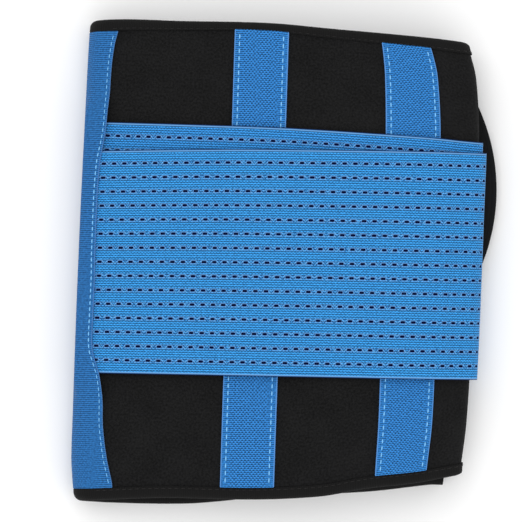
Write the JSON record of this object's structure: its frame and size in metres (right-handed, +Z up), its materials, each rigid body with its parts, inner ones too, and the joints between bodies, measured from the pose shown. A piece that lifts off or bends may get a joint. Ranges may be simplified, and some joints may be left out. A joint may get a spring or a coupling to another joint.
{
  "type": "back support belt",
  "caption": "Waist support belt lying folded in three: black padded panel with bound edges, sewn tapes, and wide elastic straps wrapped round its folds.",
  "frame": {"origin": "on the surface that the folded belt lies on, under the middle of its bounding box", "axes": "+Z up out of the surface, +Y along the belt's height towards the upper edge, +X from the taped left fold to the right fold"},
  "size_m": [0.2094, 0.243, 0.0418],
  "materials": {
    "padded_panel": "brushed nylon over neoprene",
    "edge_binding": "woven binding tape",
    "blue_tape": "ribbed webbing, stitched with lighter thread",
    "blue_elastic": "ribbed perforated elastic",
    "closure_fabric": "short looped pile"
  },
  "bodies": {
    "root": {"main_panel": "padded_panel", "top_binding": "edge_binding", "bottom_binding": "edge_binding", "fold_tape": "blue_tape", "front_tape_left": "blue_tape", "front_tape_right": "blue_tape", "inner_strap": "blue_elastic", "outer_strap": "blue_elastic", "closure_tab": "closure_fabric"}
  },
  "joints": []
}
